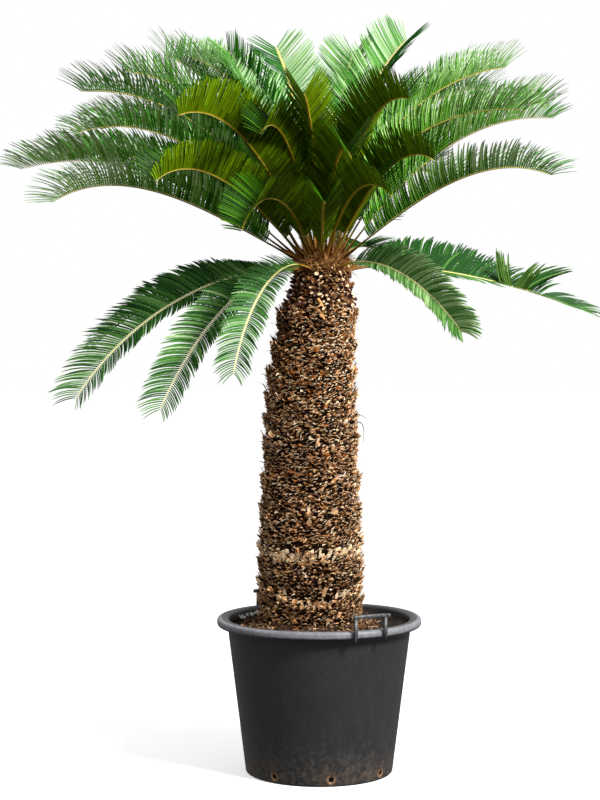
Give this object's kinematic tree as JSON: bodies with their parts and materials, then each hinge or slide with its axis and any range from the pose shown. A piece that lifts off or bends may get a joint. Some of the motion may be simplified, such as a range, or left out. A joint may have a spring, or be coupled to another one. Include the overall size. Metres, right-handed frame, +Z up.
{
  "type": "potted sago palm",
  "caption": "Sago palm with a ringed trunk and an open crown of feather fronds, in a round tapered nursery pot with raised loop handles.",
  "frame": {"origin": "centre of the pot's flat underside", "axes": "+Z up along the trunk; -Y is the front of the plant and +X its right, seen from the front"},
  "size_m": [1.8283, 1.6432, 2.4395],
  "materials": {
    "pot_plastic": "black moulded plastic, dusty on the wall and worn grey on the rim",
    "soil": "dark crumbly potting soil with a few pale grains",
    "trunk_bark": "rough rings of old leaf bases, tan at their cut ends and dark between",
    "cut_stub": "pale tan cut ends of leaf stalks",
    "crown_wool": "rust-brown wool between the leaf stalks",
    "leaf_rib": "satin golden-green ribs, brown at their foot",
    "leaflet_green": "glossy mid-green leaflets",
    "leaflet_blue": "glossy dark bluish-green leaflets",
    "leaflet_olive": "satin olive to yellow-green undersides of leaflets",
    "leaflet_old": "satin bluish-green leaflets of the oldest fronds"
  },
  "bodies": {
    "root": {"pot": "pot_plastic", "soil": "soil", "handle_front": "pot_plastic", "handle_back": "pot_plastic", "trunk": "trunk_bark", "crown_heart": "crown_wool", "frond_upper_1": "leaflet_green", "frond_upper_2": "leaflet_green", "frond_upper_3": "leaflet_green", "frond_upper_4": "leaflet_green", "frond_upper_5": "leaflet_green", "frond_upper_6": "leaflet_green", "frond_upper_7": "leaflet_green", "frond_upper_8": "leaflet_green", "frond_upper_9": "leaflet_green", "frond_upper_10": "leaflet_green", "frond_side_1": "leaflet_blue", "frond_side_2": "leaflet_blue", "frond_side_3": "leaflet_blue", "frond_side_4": "leaflet_blue", "frond_side_5": "leaflet_blue", "frond_side_6": "leaflet_blue", "frond_front_1": "leaflet_olive", "frond_front_2": "leaflet_olive", "frond_front_3": "leaflet_olive", "frond_front_4": "leaflet_olive", "frond_front_5": "leaflet_olive", "frond_front_6": "leaflet_olive", "frond_front_7": "leaflet_olive", "frond_front_8": "leaflet_olive", "frond_front_9": "leaflet_olive", "frond_front_10": "leaflet_olive", "frond_back_1": "leaflet_green", "frond_back_2": "leaflet_green", "frond_back_3": "leaflet_green", "frond_back_4": "leaflet_green", "frond_back_5": "leaflet_green", "frond_back_6": "leaflet_green", "frond_back_7": "leaflet_green", "frond_back_8": "leaflet_green", "frond_back_9": "leaflet_green", "frond_back_10": "leaflet_green", "frond_drooping_1": "leaflet_old", "frond_drooping_2": "leaflet_old", "frond_drooping_3": "leaflet_old", "frond_drooping_4": "leaflet_old", "frond_drooping_5": "leaflet_old", "frond_drooping_6": "leaflet_old", "frond_drooping_7": "leaflet_old", "frond_drooping_8": "leaflet_old", "frond_drooping_9": "leaflet_old", "frond_drooping_10": "leaflet_old"}
  },
  "joints": []
}
